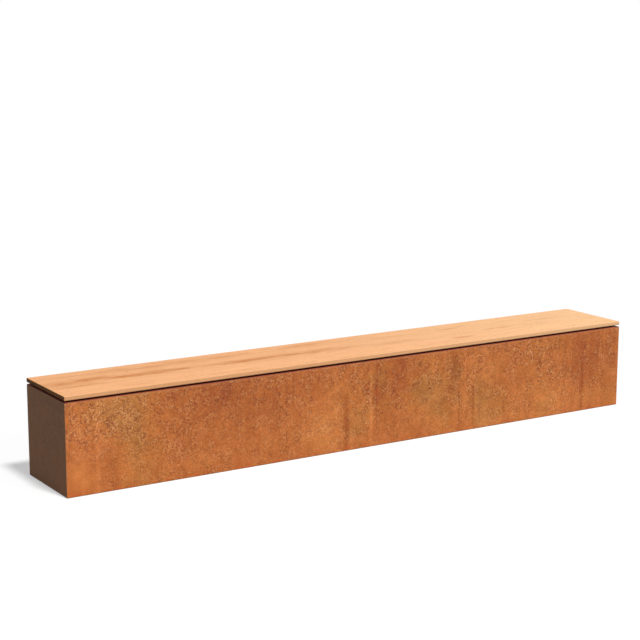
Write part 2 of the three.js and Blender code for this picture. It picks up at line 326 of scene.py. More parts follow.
def with_ovals(tree, place, ovals, value):
    """Adds to a value a soft oval for each middle, half size and strength, strongest in its middle."""
    for middle_mm, half_mm, strength in ovals:
        from_middle = add(tree, "Mapping", {
            "Vector": place, "Location": Vector(middle_mm) * mm, "Scale": Vector(half_mm) * mm},
            vector_type="TEXTURE")
        oval = add(tree, "TexGradient", {"Vector": from_middle}, gradient_type="SPHERICAL").outputs[1]
        value = add(tree, "Math", {0: oval, 1: strength, 2: value}, operation="MULTIPLY_ADD")
    return value

# %% [markdown]
# From afar two things vary over the rust. Its tone goes from olive to red, in patches as wide as a hand.
# How light it is varies too: a wall is a little darker near its top edge, cloudy, and crossed by runs and
# fine drips. They are made apart, because a dark run may cross a red cloud or an olive one.

# %% Tone and light of the rust
def rust_tone(tree, bent):
    """The colour of the rust without its crust."""
    mottle = patches(tree, (75, 75, 60), seed=8.1, detail=3.0)
    broad = patches(tree, (420, 420, 260), seed=5.9)
    own_tone = add(tree, "Math", {0: mottle, 1: 0.45, 2: broad}, operation="MULTIPLY_ADD")
    middle_tone = add(tree, "Math", {0: own_tone, 1: 0.20}, operation="SUBTRACT")
    tone = with_ovals(tree, bent, on_front(tone_marks), middle_tone)
    return add(tree, "ValToRGB", {0: tone}, stops=[
        (0.05, rust_olive), (0.32, rust_tan), (0.52, rust_orange), (0.90, rust_red)])


def rust_light(tree, bent, up):
    """How light the rust is, about 1."""
    fall = add(tree, "MapRange", {0: up, 1: 0.0, 2: wall_top, 3: 1.115, 4: 1.062})
    cloudy = with_ovals(tree, bent, on_front(light_marks), fall)
    run_place = pushed_about(tree, (90, 90, 400), seed=9.2, by_mm=9, still=0.0)
    light = with_ovals(tree, run_place, on_front(runs), cloudy)
    drips = patches(tree, (24, 24, 600), seed=5.3, detail=3.0)
    blotch = patches(tree, (42, 42, 50), seed=6.4, detail=4.0)
    for pattern, change in ((drips, 0.06), (blotch, 0.14)):
        own_light = add(tree, "MapRange", {0: pattern, 1: 0.25, 2: 0.75, 3: 1 - change, 4: 1 + change})
        light = add(tree, "Math", {0: light, 1: own_light}, operation="MULTIPLY")
    return light

# %% [markdown]
# Close by, the rust is a crust of dark pits and tan grains. Real ones are one to three millimetres wide.
# Here they come in groups 10 mm wide, so that they show from the camera, and a grit of 3 mm inside them
# is there for a close look. Between them lie thin flakes, drawn 23 mm wide: a dark crack winds round each,
# beside it stands a pale rim where the crust lifts, and the crust breaks both lines into short pieces.
# All of it crowds where rain dries last, near the top edge and most of all at the left of the front wall.

# %% Pits, grains and flakes
def crowding(tree, bent, up, at_left):
    """How strongly the crust shows, about 1."""
    crowd = patches(tree, (200, 200, 140), seed=4.8, detail=3.0)
    crowd_here = add(tree, "MapRange", {0: crowd, 1: 0.36, 2: 0.62, 3: 0.62, 4: 1.0})
    crowd_up = add(tree, "MapRange", {0: up, 1: 0.0, 2: wall_top, 3: 0.72, 4: 1.16})
    upper = add(tree, "Math", {0: crowd_up, 1: crowd_here}, operation="MULTIPLY")
    groups = with_ovals(tree, bent, on_front(crowd_marks), upper)
    flaked = patches(tree, (40, 40, 48), seed=2.7)
    flaked_here = add(tree, "MapRange", {0: flaked, 1: 0.38, 2: 0.58, 3: 0.45, 4: 1.15})
    # Painted shade: fewer pits and grains show at the shaded left end.
    calm_end = add(tree, "MapRange", {0: at_left, 3: 1.0, 4: 0.90})
    calm = add(tree, "Math", {0: flaked_here, 1: calm_end}, operation="MULTIPLY")
    return add(tree, "Math", {0: groups, 1: calm}, operation="MULTIPLY")


def crust_marks(tree, crust):
    """The share of dark, in pits and cracks, and the share of pale, in grains and rims."""
    flake = patches(tree, (23, 23, 20), seed=7.5, detail=6.0, rough=0.62, twist=0.3)
    pit = {1: 0.34, 2: 0.47, 3: 0.68, 4: 0.0}
    grain = {1: 0.53, 2: 0.66, 3: 0.0, 4: 0.44}
    crack = {1: 0.010, 2: 0.045, 3: 0.68, 4: 0.0}
    rim = {1: 0.010, 2: 0.035, 3: 0.31, 4: 0.0}
    marks = []
    for spot_ends, line_level, line_ends, in_pits, on_grains in (
            (pit, 0.50, crack, 1.35, 0.55), (grain, 0.565, rim, 0.30, 1.50)):
        spot = add(tree, "MapRange", {0: crust, **spot_ends})
        from_line = add(tree, "Math", {0: flake, 1: line_level}, operation="SUBTRACT")
        off_line = add(tree, "Math", {0: from_line}, operation="ABSOLUTE")
        line = add(tree, "MapRange", {0: off_line, **line_ends})
        breaks = add(tree, "MapRange", {0: crust, 1: 0.42, 2: 0.58, 3: in_pits, 4: on_grains})
        broken = add(tree, "Math", {0: line, 1: breaks}, operation="MULTIPLY")
        marks.append(add(tree, "Math", {0: spot, 1: broken}, operation="MAXIMUM"))
    return marks

# %% [markdown]
# The outer skin is then built up in the order in which weather made it. The crust lies on the rust. Where
# it is darker it is redder too, and where it is lighter it is bleached. Rain splashes up from the ground,
# so the lowest 3 cm have spots of fresh, redder rust. The left end lies in shade, and painted shade makes
# its rust calmer and greyer. A pale band just under the bend at the top is a painted highlight of the
# bend, and the end of the bend and the flange under the seat get a dark painted shade, a little less at
# the left end.

# %% Rust that rain has reached
crust_mm = (9.5, 9.5, 9.5)


def rained_on_rust(tree, axes):
    """The colour of the outer skin, and the height of its crust."""
    along, _, up = axes.outputs
    bent = pushed_about(tree, (130, 130, 130), seed=3.7, by_mm=70)
    at_left = add(tree, "MapRange", {
        0: along, 1: bench_low.x + 0.4 * mm, 2: bench_low.x + 1.2 * mm, 3: 1.0, 4: 0.0})
    crust = patches(tree, crust_mm, seed=1.9, detail=5.0, rough=0.80, twist=0.1)
    crowded = crowding(tree, bent, up, at_left)
    pits, grains = (add(tree, "Math", {0: mark, 1: crowded}, operation="MULTIPLY")
                    for mark in crust_marks(tree, crust))
    crusted = coated(tree, rust_tone(tree, bent), [(pits, pit_brown), (grains, grain_tan)])

    light = rust_light(tree, bent, up)
    scaled = add(tree, "VectorMath", {0: crusted, "Scale": light}, operation="SCALE")
    shaded = add(tree, "MapRange", {0: light, 1: 1.0, 2: 0.7, 3: 0.0, 4: 1.0})
    reddened = coated(tree, scaled, [(shaded, shade_tint)], blend="MULTIPLY")
    bleached = add(tree, "MapRange", {0: light, 1: 1.0, 2: 1.4, 3: 0.0, 4: 0.14})

    splash = patches(tree, (34, 34, 16), seed=3.1)
    splashed = add(tree, "MapRange", {0: splash, 1: 0.50, 2: 0.62, 3: 0.0, 4: 0.55})
    low_down = add(tree, "MapRange", {0: up, 1: 6 * mm, 2: 32 * mm, 3: 1.0, 4: 0.0})
    fresh = add(tree, "Math", {0: splashed, 1: low_down}, operation="MULTIPLY")
    # Painted shade: the left end, which lies in shade, gets a grey brown coat.
    dust_and_end_shade = add(tree, "Math", {0: at_left, 1: 0.45}, operation="MULTIPLY")

    # Painted highlight: a pale band just under the top bend stands for the light the bend catches.
    painted_bend_highlight = add(tree, "MapRange", {
        0: up, 1: wall_top - 14 * mm, 2: wall_top - 6 * mm, 3: 0.0, 4: 0.14})
    # Painted shade: the top of the bend and the flange under the seat are painted dark red brown.
    under_seat = add(tree, "MapRange", {
        0: up, 1: wall_top - 4.5 * mm, 2: wall_top - 0.8 * mm, 3: 0.0, 4: 0.94})
    less_at_left = add(tree, "MapRange", {0: at_left, 3: 1.0, 4: 0.72})
    painted_flange_shade = add(tree, "Math", {0: under_seat, 1: less_at_left}, operation="MULTIPLY")
    skin = coated(tree, reddened, [
        (bleached, bleached_tan), (fresh, fresh_red), (dust_and_end_shade, end_shade_grey), (painted_bend_highlight, bleached_tan),
        (painted_flange_shade, flange_shade_brown)])
    return skin, crust

# %% [markdown]
# The inside of the bench sees no rain. Its rust is thin and brown, and in places the blue grey scale that
# the steel had when it left the mill is still there. A point lies on the outer skin if it is within half the
# sheet of the bench's outer faces, and a value of 0 or 1 chooses between the two rusts.

# %% Rust in the dry
inner_brown = linear("#74462c")
mill_grey = linear("#514a45")
sheet_mm = 3


def sheltered_rust(tree):
    """Thin brown rust with patches of mill scale."""
    scale_patch = patches(tree, (90, 90, 90), seed=6.6, detail=4.0)
    scale_share = add(tree, "MapRange", {0: scale_patch, 1: 0.48, 2: 0.60})
    return coated(tree, inner_brown, [(scale_share, mill_grey)])


def on_outer_skin(tree, axes):
    """1 within half a sheet of the bench's ends, sides and steel top, and 0 elsewhere."""
    deep_inside = 1.0
    for axis, reach in zip(axes.outputs, (bench_high.x, bench_high.y, wall_top)):
        off_axis = add(tree, "Math", {0: axis}, operation="ABSOLUTE")
        inside = add(tree, "Math", {0: off_axis, 1: reach - sheet_mm / 2 * mm}, operation="LESS_THAN")
        deep_inside = add(tree, "Math", {0: deep_inside, 1: inside}, operation="MULTIPLY")
    return add(tree, "Math", {0: 1.0, 1: deep_inside}, operation="SUBTRACT")

# %% [markdown]
# Rust is matt, so the roughness is high and nothing shines like metal. Its skin still throws back a little
# white light, about as much as plastic does, and that softens the colour of the whole wall.

# %% Finish the steel
def weathering_steel(name, outside):
    """Rusted steel, with an outer skin that rain reaches or dry all over."""
    material, tree = fresh(bpy.data.materials, name)
    axes = add(tree, "SeparateXYZ", {0: add(tree, "TexCoord").outputs["Object"]})
    colour = sheltered_rust(tree)
    if outside:
        skin, crust = rained_on_rust(tree, axes)
        colour = coated(tree, colour, [(on_outer_skin(tree, axes), skin)])
    else:
        crust = patches(tree, crust_mm, seed=1.9, detail=5.0, rough=0.80)
    grit = patches(tree, (3, 3, 3), seed=2.2, detail=4.0, rough=0.7)
    grit_light = add(tree, "MapRange", {0: grit, 1: 0.30, 2: 0.70, 3: 0.70, 4: 1.30})
    gritty = add(tree, "VectorMath", {0: colour, "Scale": grit_light}, operation="SCALE")
    relief = add(tree, "Math", {0: grit, 1: 0.25, 2: crust}, operation="MULTIPLY_ADD")
    roughness = add(tree, "MapRange", {0: crust, 1: 0.3, 2: 0.7, 3: 0.68, 4: 0.86})
    end_material(tree, {"Base Color": gritty, "Roughness": roughness, "IOR": 1.5}, relief, depth_mm=0.45)
    return material


steel = weathering_steel("weathered_rust_on_weathering_steel", outside=True)
inner_steel = weathering_steel("dry_rust_on_weathering_steel", outside=False)
print("steel finishes:", steel.name, "and", inner_steel.name)

# %% [markdown]
# ## Hardwood
# The seat is three planed and oiled boards. Growth rings run through the whole board: on the face they
# show as long lines, and on the sawn ends as arcs. So the rings are drawn as circles round a pith that
# lies under each board, warped a little along the length, and the same rule gives faces and ends. Short
# dark pores follow the grain. Streaks of browner heartwood are what one sees from afar, most of all in the
# middle board. Those are placed one by one as long ovals, and noise frays them.

# %% Colours of the wood
wood_light = linear("#e6ae7d")
wood_late = linear("#d09667")
wood_heart = linear("#bb773a")
# painted reflection on the seat's right half
painted_sheen_pale = linear("#ebc090")
pore_brown = linear("#925d32")
end_tint = linear("#e7ddcf")
# painted shade of the boards over the gap
board_shade_red = linear("#6e2807")

# %% Places of the heartwood
# Each row holds the middle along and across the seat, the half length and half width, in mm, and a strength.
heart_half_height_mm = 60
heart_marks = [
    (-1340, 22, 330, 60, 1.10), (-1000, 6, 230, 50, 1.25), (-330, 2, 470, 50, 1.15),
    (-700, -4, 320, 44, 0.60), (-1380, -60, 220, 34, 0.50), (-880, 120, 760, 60, 0.50),
    (-60, 130, 300, 40, 0.35), (640, 92, 90, 22, 0.80), (880, -8, 110, 16, 1.25),
    (600, -92, 95, 24, 0.75), (250, -20, 180, 40, 0.35), (1230, 60, 160, 20, 0.40),
    (-200, 150, 200, 24, 0.45), (300, 90, 260, 20, 0.40)]
heart_ovals = [((x, y, bench_high.z / mm), (half_length, half_width, heart_half_height_mm), strength)
               for x, y, half_length, half_width, strength in heart_marks]
print(len(heart_ovals), "streaks of heartwood")

# %% Boards and growth rings
# Each board is cut from another place in the tree, so its patterns are drawn 3.3 m along and 3.3 m up from
# its neighbour's. The rings are circles round the pith, warped by up to five rings along the board.
board_count = 3
board_shift = 3.3
board_width = bench_depth / board_count
edge_share = 0.001
pith_share = 0.42
pith_depth = 0.110
ring_mm = 4.2
warp_rings = 5.0

hardwood, tree = fresh(bpy.data.materials, "planed_and_oiled_hardwood")
place = add(tree, "TexCoord").outputs["Object"]
along, across, up = add(tree, "SeparateXYZ", {0: place}).outputs
board_place = add(tree, "MapRange", {
    0: across, 1: bench_low.y, 2: bench_high.y, 3: edge_share, 4: board_count - edge_share})
board = add(tree, "Math", {0: board_place}, operation="FLOOR")
in_board = add(tree, "Math", {0: board_place}, operation="FRACT")
shift = add(tree, "Math", {0: board, 1: board_shift}, operation="MULTIPLY")
apart = add(tree, "CombineXYZ", {0: shift, 2: shift})
own_place = add(tree, "VectorMath", {0: place, 1: apart}, operation="ADD")

side = add(tree, "Math", {0: in_board, 1: board_width, 2: -pith_share * board_width},
           operation="MULTIPLY_ADD")
rise = add(tree, "Math", {0: up, 1: bench_high.z - pith_depth}, operation="SUBTRACT")
from_pith = add(tree, "CombineXYZ", {0: side, 1: rise})
radius = add(tree, "VectorMath", {0: from_pith}, operation="LENGTH").outputs["Value"]
ring_number = add(tree, "Math", {0: radius, 1: 1 / (ring_mm * mm)}, operation="MULTIPLY")
warp = patches(tree, (600, 45, 45), detail=3.0, place=own_place)
warped = add(tree, "Math", {0: warp, 1: warp_rings, 2: ring_number}, operation="MULTIPLY_ADD")
ring = add(tree, "Math", {0: warped}, operation="FRACT")
wood = add(tree, "ValToRGB", {0: ring}, stops=[
    (0.0, wood_light), (0.55, wood_light), (0.9, wood_late), (1.0, wood_light)])
print(board_count, "boards with rings of", ring_mm, "mm")

# %% [markdown]
# The seat's right half is painted paler and yellower towards its end, a painted reflection of the room.
# Heartwood comes over it: the ovals say where, and a noise of long thin patches turns them into wisps.
# Real pores are 0.2 mm wide, and here they are dashes 12 mm long and 0.8 mm wide, so that they show at all.

# %% Painted reflection, heartwood and pores
along_share = add(tree, "MapRange", {0: along, 1: bench_low.x, 2: bench_high.x})
# Painted reflection: the pale yellow share grows towards the right end of the seat.
pale = add(tree, "MapRange", {0: along_share, 1: 0.45, 2: 1.0, 3: 0.0, 4: 0.7})
heart_place = pushed_about(tree, (420, 120, 120), seed=4.1, by_mm=20)
faint_heart = add(tree, "MapRange", {0: along_share, 3: 0.12, 4: 0.0})
heart_here = with_ovals(tree, heart_place, heart_ovals, faint_heart)
wisps = patches(tree, (150, 12, 12), detail=5.0, rough=0.65, twist=0.6, place=own_place)
wispy = add(tree, "MapRange", {0: wisps, 1: 0.38, 2: 0.60, 3: 0.05, 4: 1.35})
heart = add(tree, "Math", {0: heart_here, 1: wispy}, operation="MULTIPLY")
pores = patches(tree, (12, 0.8, 0.8), detail=1.0, place=own_place)
pore = add(tree, "MapRange", {0: pores, 1: 0.30, 2: 0.40, 3: 0.6, 4: 0.0})
grained = coated(tree, wood, [(pale, painted_sheen_pale), (heart, wood_heart), (pore, pore_brown)])
print("wood so far:", len(tree.nodes), "nodes")

# %% [markdown]
# Fibres make fine light and dark lines, and the front board is a little lighter than the other two. The
# front and back faces of the seat get a painted highlight, up to 7 % lighter. The sawn ends drink more
# oil than the faces, so they are a little darker, and their open cells hardly shine. The undersides of
# the boards and their lowest 4 mm are painted a dark rusty red, a painted shade over the gap. Oil leaves
# the wood with a soft sheen.

# %% Fibres, edges, ends and oil
# gain of the painted highlight on the seat's front and back faces
edge_highlight_gain = 1.07
# height of the painted shade at the boards' lower edge
board_shade_mm = 4

fibre = patches(tree, (140, 2.5, 2.5), detail=3.0, place=own_place)
fibre_light = add(tree, "MapRange", {0: fibre, 1: 0.25, 2: 0.75, 3: 0.93, 4: 1.07})
board_light = add(tree, "MapRange", {0: board, 3: 1.03, 4: 0.985})
face_light = add(tree, "Math", {0: fibre_light, 1: board_light}, operation="MULTIPLY")
from_axis = add(tree, "Math", {0: across}, operation="ABSOLUTE")
# Painted highlight: the front and back faces of the seat are painted up to 7 % lighter.
painted_edge_highlight = add(tree, "MapRange", {
    0: from_axis, 1: bench_high.y - 1 * mm, 2: bench_high.y - 0.4 * mm, 3: 1.0, 4: edge_highlight_gain})
lit_face = add(tree, "VectorMath", {0: grained, "Scale": face_light}, operation="SCALE")
lit_edge = add(tree, "VectorMath", {0: lit_face, "Scale": painted_edge_highlight}, operation="SCALE")
from_middle = add(tree, "Math", {0: along}, operation="ABSOLUTE")
at_end = add(tree, "MapRange", {
    0: from_middle, 1: bench_high.x - 1.2 * mm, 2: bench_high.x - 0.4 * mm, 3: 0.0, 4: 1.0})
ended = coated(tree, lit_edge, [(at_end, end_tint)], blend="MULTIPLY")
# Painted shade: the undersides and lowest 4 mm of the boards, over the gap, are painted dark rusty red.
painted_board_shade = add(tree, "MapRange", {0: up, 1: seat_low, 2: seat_low + board_shade_mm * mm, 3: 0.8, 4: 0.0})
board_shaded = coated(tree, ended, [(painted_board_shade, board_shade_red)])
grooves = add(tree, "Math", {0: fibre, 1: 0.5, 2: pores}, operation="MULTIPLY_ADD")
face_rough = add(tree, "MapRange", {0: fibre, 1: 0.3, 2: 0.7, 3: 0.72, 4: 0.60})
roughness = add(tree, "Math", {0: at_end, 1: 0.3, 2: face_rough}, operation="MULTIPLY_ADD")
end_material(tree, {"Base Color": board_shaded, "Roughness": roughness, "IOR": 1.5, "Specular IOR Level": 0.3},
             grooves, depth_mm=0.08)
print("wood finish:", hardwood.name)

# %% [markdown]
# ## Stainless steel and nylon
# Screws, studs and lock nuts are turned from bright stainless steel: a metal with fine rings from the
# lathe, so it is not quite a mirror. The foot pads are moulded from black nylon, which has a fine grain
# from its mould and a dull sheen, and some dust from the ground lies on it.

# %% Finish the small parts
stainless, tree = fresh(bpy.data.materials, "turned_stainless_steel")
turning = patches(tree, (1.2, 1.2, 0.4), seed=4.4)
turned_rough = add(tree, "MapRange", {0: turning, 1: 0.3, 2: 0.7, 3: 0.24, 4: 0.38})
end_material(tree, {"Base Color": linear("#c9c8c5"), "Metallic": 1.0, "Roughness": turned_rough},
             turning, depth_mm=0.02, strength=0.6)

nylon, tree = fresh(bpy.data.materials, "moulded_black_nylon")
mould_grain = patches(tree, (0.8, 0.8, 0.8), seed=7.7)
dust = patches(tree, (9, 9, 5), seed=2.9, detail=3.0)
dust_and_end_shade = add(tree, "MapRange", {0: dust, 1: 0.45, 2: 0.7, 3: 0.0, 4: 0.35})
dusty_black = coated(tree, linear("#232427"), [(dust_and_end_shade, linear("#6a6158"))])
end_material(tree, {"Base Color": dusty_black, "Roughness": 0.52, "IOR": 1.53},
             mould_grain, depth_mm=0.05, strength=0.7)
print("finishes of the small parts:", stainless.name, "and", nylon.name)

# %% Give every piece of the model its finish
finish_of = {"seat_board": hardwood, "seat_screw": stainless, "lock_nut": stainless, "foot_stud": stainless,
             "foot_pad": nylon, "foot_beam": inner_steel, "seat_bearer": inner_steel}
for name, piece in nodes.items():
    start = "_".join(name.split("_")[:2])
    piece.data.materials.clear()
    piece.data.materials.append(finish_of.get(start, steel))
print("finished", len(nodes), "pieces")

# %% [markdown]
# ## Pieces that follow a rule
# Threads, weld beads, screws and nuts repeat or follow a path, so each is a small Geometry Nodes tree with
# named inputs for its sizes. The tree runs once and its result is kept as a plain mesh, because a saved
# model can't carry a live tree. What is turned on a lathe, such as a screw head, is made from rows of
# radius and height, and a row can be cut to a hexagon, which gives the curved corners of a real nut.

# %% Helpers for grown pieces
def new_tree(name, inputs):
    """A Geometry Nodes tree with geometry in and out and the named inputs; gives the tree and its inputs."""
    tree = bpy.data.node_groups.new(name, "GeometryNodeTree")
    tree.interface.new_socket("Geometry", in_out="OUTPUT", socket_type="NodeSocketGeometry")
    tree.interface.new_socket("Geometry", in_out="INPUT", socket_type="NodeSocketGeometry")
    for label, kind in inputs.items():
        tree.interface.new_socket(label, in_out="INPUT", socket_type="NodeSocket" + kind)
    return tree, add(tree, "NodeGroupInput").outputs


def end_tree(tree, geometry, material):
    """Ends a tree: the instances become real and get their finish. Gives the tree back."""
    real = add(tree, "GeometryNodeRealizeInstances", {0: geometry})
    finished = add(tree, "GeometryNodeSetMaterial", {"Geometry": real, "Material": material})
    add(tree, "NodeGroupOutput", {0: finished})
    print("tree", tree.name, "has", len(tree.nodes), "nodes")
    return tree


def smoothed(mesh, name, sharp_degrees=35):
    """Smooth faces, with the edges that turn by more than sharp_degrees kept crisp."""
    mesh.name = name
    mesh.shade_smooth()
    mesh.set_sharp_from_angle(angle=math.radians(sharp_degrees))
    return mesh


def grown(name, tree, start, sizes):
    """Runs a Geometry Nodes tree on a mesh, and keeps what it makes as a plain mesh."""
    carrier = put(name, start)
    modifier = carrier.modifiers.new("grow", "NODES")
    modifier.node_group = tree
    labels = {item.name: item.identifier for item in tree.interface.items_tree if item.in_out == "INPUT"}
    for label, size in sizes.items():
        modifier[labels[label]] = size
    ready = carrier.evaluated_get(bpy.context.evaluated_depsgraph_get())
    mesh = bpy.data.meshes.new_from_object(ready)
    bpy.data.objects.remove(carrier)
    return smoothed(mesh, name)

# %% Helpers for turned and joined pieces
def mesh_of(shape, name, material):
    """A smooth mesh from an edited shape, which is freed."""
    mesh = bpy.data.meshes.new(name)
    shape.to_mesh(mesh)
    shape.free()
    mesh.materials.append(material)
    return smoothed(mesh, name)


def turned(name, rows, sides, material):
    """A turned shape from rows of radius, height and width across flats, all in mm; 0 flats is round."""
    shape = bmesh.new()
    rings = []
    half_face = math.pi / 6
    for radius, height, flats in rows:
        ring = []
        for k in range(sides if radius else 1):
            angle = 2 * math.pi * k / sides
            off_flat = (angle + half_face) % (2 * half_face) - half_face
            reach = min(radius, flats / 2 / math.cos(off_flat)) if flats else radius
            corner = (reach * mm * math.cos(angle), reach * mm * math.sin(angle), height * mm)
            ring.append(shape.verts.new(corner))
        rings.append(ring)
    if rows[0][0]:
        rings.append(rings[0])
    for low, high in zip(rings, rings[1:]):
        for k in range(sides):
            after = k + 1
            corners = (low[k % len(low)], low[after % len(low)], high[after % len(high)], high[k % len(high)])
            shape.faces.new(list(dict.fromkeys(corners)))
    bmesh.ops.recalc_face_normals(shape, faces=shape.faces)
    return mesh_of(shape, name, material)


def joined(name, meshes, place):
    """One mesh from several, moved to a place."""
    shape = bmesh.new()
    for mesh in meshes:
        shape.from_mesh(mesh)
    together = mesh_of(shape, name, meshes[0].materials[0])
    together.transform(Matrix.Translation(place))
    return together


def fit(mesh, body, stands_for=()):
    """Makes a mesh a piece of the bench, which moves with a body and may stand for nodes of the model."""
    piece = put(mesh.name, mesh)
    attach(piece, body)
    if stands_for:
        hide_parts(*stands_for)
    print(piece.name, "rides on", body, "with", len(mesh.polygons), "faces")

# %% [markdown]
# ## A thread that is rolled up
# A thread is a ridge that climbs by one pitch a turn. A flat grid is rolled into a rod here: its width
# becomes the angle and its height the length. The radius then depends only on how far a point has climbed
# against how far it has turned, so the ridge comes out as a true right hand helix. Both ends are cut at 45
# degrees from the root, and the outermost rows close to a point.

# %% The height of the thread's ridge
root_end = 0.06
crest_end = 0.44
tree, given = new_tree("rolled_thread", {
    "Crest Radius": "Float", "Root Radius": "Float", "Pitch": "Float", "Length": "Float",
    "Rows": "Int", "Columns": "Int", "Finish": "Material"})
sheet = add(tree, "GeometryNodeMeshGrid", {
    "Size X": 2 * math.pi, "Size Y": given["Length"],
    "Vertices X": given["Columns"], "Vertices Y": given["Rows"]})
flat = add(tree, "SeparateXYZ", {0: add(tree, "GeometryNodeInputPosition")})
height = add(tree, "Math", {0: given["Length"], 1: 0.5, 2: flat.outputs[1]}, operation="MULTIPLY_ADD")
climbed = add(tree, "Math", {0: height, 1: given["Pitch"]}, operation="DIVIDE")
ahead = add(tree, "Math", {0: flat, 1: -1 / (2 * math.pi), 2: climbed}, operation="MULTIPLY_ADD")
in_pitch = add(tree, "Math", {0: ahead}, operation="FRACT")
from_root = add(tree, "Math", {0: in_pitch, 1: 0.5}, operation="SUBTRACT")
flank = add(tree, "Math", {0: from_root}, operation="ABSOLUTE")
ridge = add(tree, "MapRange", {
    0: flank, 1: root_end, 2: crest_end, 3: given["Root Radius"], 4: given["Crest Radius"]})

# %% Cut its ends and roll it up
hardly_mm = 0.001
to_end = add(tree, "Math", {0: given["Length"], 1: height}, operation="SUBTRACT")
nearest = add(tree, "Math", {0: height, 1: to_end}, operation="MINIMUM")
cut = add(tree, "Math", {0: nearest, 1: given["Root Radius"]}, operation="ADD")
bounded = add(tree, "Math", {0: ridge, 1: cut}, operation="MINIMUM")
inside = add(tree, "Math", {0: nearest, 1: hardly_mm * mm}, operation="GREATER_THAN")
radius = add(tree, "Math", {0: bounded, 1: inside}, operation="MULTIPLY")
cosine = add(tree, "Math", {0: flat}, operation="COSINE")
sine = add(tree, "Math", {0: flat}, operation="SINE")
unit = add(tree, "CombineXYZ", {0: cosine, 1: sine})
spread = add(tree, "VectorMath", {0: unit, "Scale": radius}, operation="SCALE")
lift = add(tree, "CombineXYZ", {2: height})
rolled_place = add(tree, "VectorMath", {0: spread, 1: lift}, operation="ADD")
rolled = add(tree, "GeometryNodeSetPosition", {"Geometry": sheet, "Position": rolled_place})
closed = add(tree, "GeometryNodeMergeByDistance", {0: rolled, "Distance": hardly_mm * mm})
thread_tree = end_tree(tree, closed, given["Finish"])


def thread(name, diameter_mm, pitch_mm, depth_mm, length_mm, columns, finish, rows_per_pitch=8):
    """A threaded rod that stands on the origin."""
    return grown(name, thread_tree, bpy.data.meshes.new(name + "_start"), {
        "Crest Radius": diameter_mm / 2 * mm, "Root Radius": (diameter_mm / 2 - depth_mm) * mm,
        "Pitch": pitch_mm * mm, "Length": length_mm * mm, "Columns": columns + 1,
        "Rows": round(length_mm / pitch_mm * rows_per_pitch) + 1, "Finish": finish})

# %% [markdown]
# ## Levelling feet
# Each foot is a nylon pad on a threaded stud. The stud stands in the pad's socket, climbs through a nut
# welded under the beam, and is held by a lock nut above it. A spanner turns it by the hexagon just over
# the pad. The stud is an M12: 12 mm wide, 1.75 mm from ridge to ridge, and 1.07 mm deep.

# %% Sizes of a foot
stud_mm = 12
stud_pitch_mm = 1.75
stud_depth_mm = 1.07
collar_flats_mm = 14
chamfer_mm = 0.7
pad_low, pad_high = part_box("foot_pad_1")
stud_low, stud_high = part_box("foot_stud_1")
pad_radius_mm = (pad_high.x - pad_low.x) / 2 / mm
pad_height_mm = (pad_high.z - pad_low.z) / mm
stud_low_mm = stud_low.z / mm
stud_high_mm = stud_high.z / mm
collar_low_mm = pad_height_mm + 0.3
collar_high_mm = collar_low_mm + 8
print(f"pad {2 * pad_radius_mm:.0f} mm wide, stud from {stud_low_mm:.1f} to {stud_high_mm:.1f} mm")

# %% Turn the stud's foot and collar, and roll its thread
plain_mm = stud_mm / 2 - 0.3
corner_mm = collar_flats_mm / 2 / math.cos(math.pi / 6)
stud_foot = turned("stud_foot", [
    (0, stud_low_mm, 0), (plain_mm - 1, stud_low_mm, 0), (plain_mm, stud_low_mm + 1, 0),
    (plain_mm, collar_low_mm, 0), (collar_flats_mm / 2, collar_low_mm, collar_flats_mm),
    (corner_mm, collar_low_mm + chamfer_mm, collar_flats_mm),
    (corner_mm, collar_high_mm - chamfer_mm, collar_flats_mm),
    (collar_flats_mm / 2, collar_high_mm, collar_flats_mm), (0, collar_high_mm, 0)],
    sides=72, material=stainless)
stud_thread = thread("stud_thread", stud_mm, stud_pitch_mm, stud_depth_mm,
                     stud_high_mm - collar_high_mm, columns=40, finish=stainless)
stud_thread.transform(Matrix.Translation((0, 0, collar_high_mm * mm)))
print("thread of", round((stud_high_mm - collar_high_mm) / stud_pitch_mm, 1), "turns")

# %% [markdown]
# ## Foot pads
# A moulded pad has a flat ring that bears on the ground, a dished top and ribs that stiffen it. The body
# is turned. One rib is a small prism, and a tree sets twelve of them round the axis. The stud turns in the
# pad's socket, on a film of grease 0.05 mm thick.

# %% Turn the pad
neck_mm = 11
grease_mm = 0.05
socket_mm = stud_mm / 2 + 0.3
socket_floor_mm = stud_low_mm - grease_mm
pad_body = turned("pad_body", [
    (0, 0.8, 0), (15, 0.8, 0), (15.8, 0, 0), (pad_radius_mm - 1.2, 0, 0), (pad_radius_mm - 0.35, 0.35, 0),
    (pad_radius_mm, 1.2, 0), (pad_radius_mm, 2.9, 0), (pad_radius_mm - 0.4, 3.5, 0),
    (pad_radius_mm - 1.4, 3.8, 0), (17, 5.0, 0), (13.6, 7.6, 0), (neck_mm, 10.2, 0),
    (neck_mm - 0.2, 11.4, 0), (neck_mm - 0.9, pad_height_mm, 0), (7.0, pad_height_mm, 0),
    (socket_mm, pad_height_mm - 0.7, 0), (socket_mm, socket_floor_mm, 0), (0, socket_floor_mm, 0)],
    sides=72, material=nylon)
print("pad:", len(pad_body.polygons), "faces")

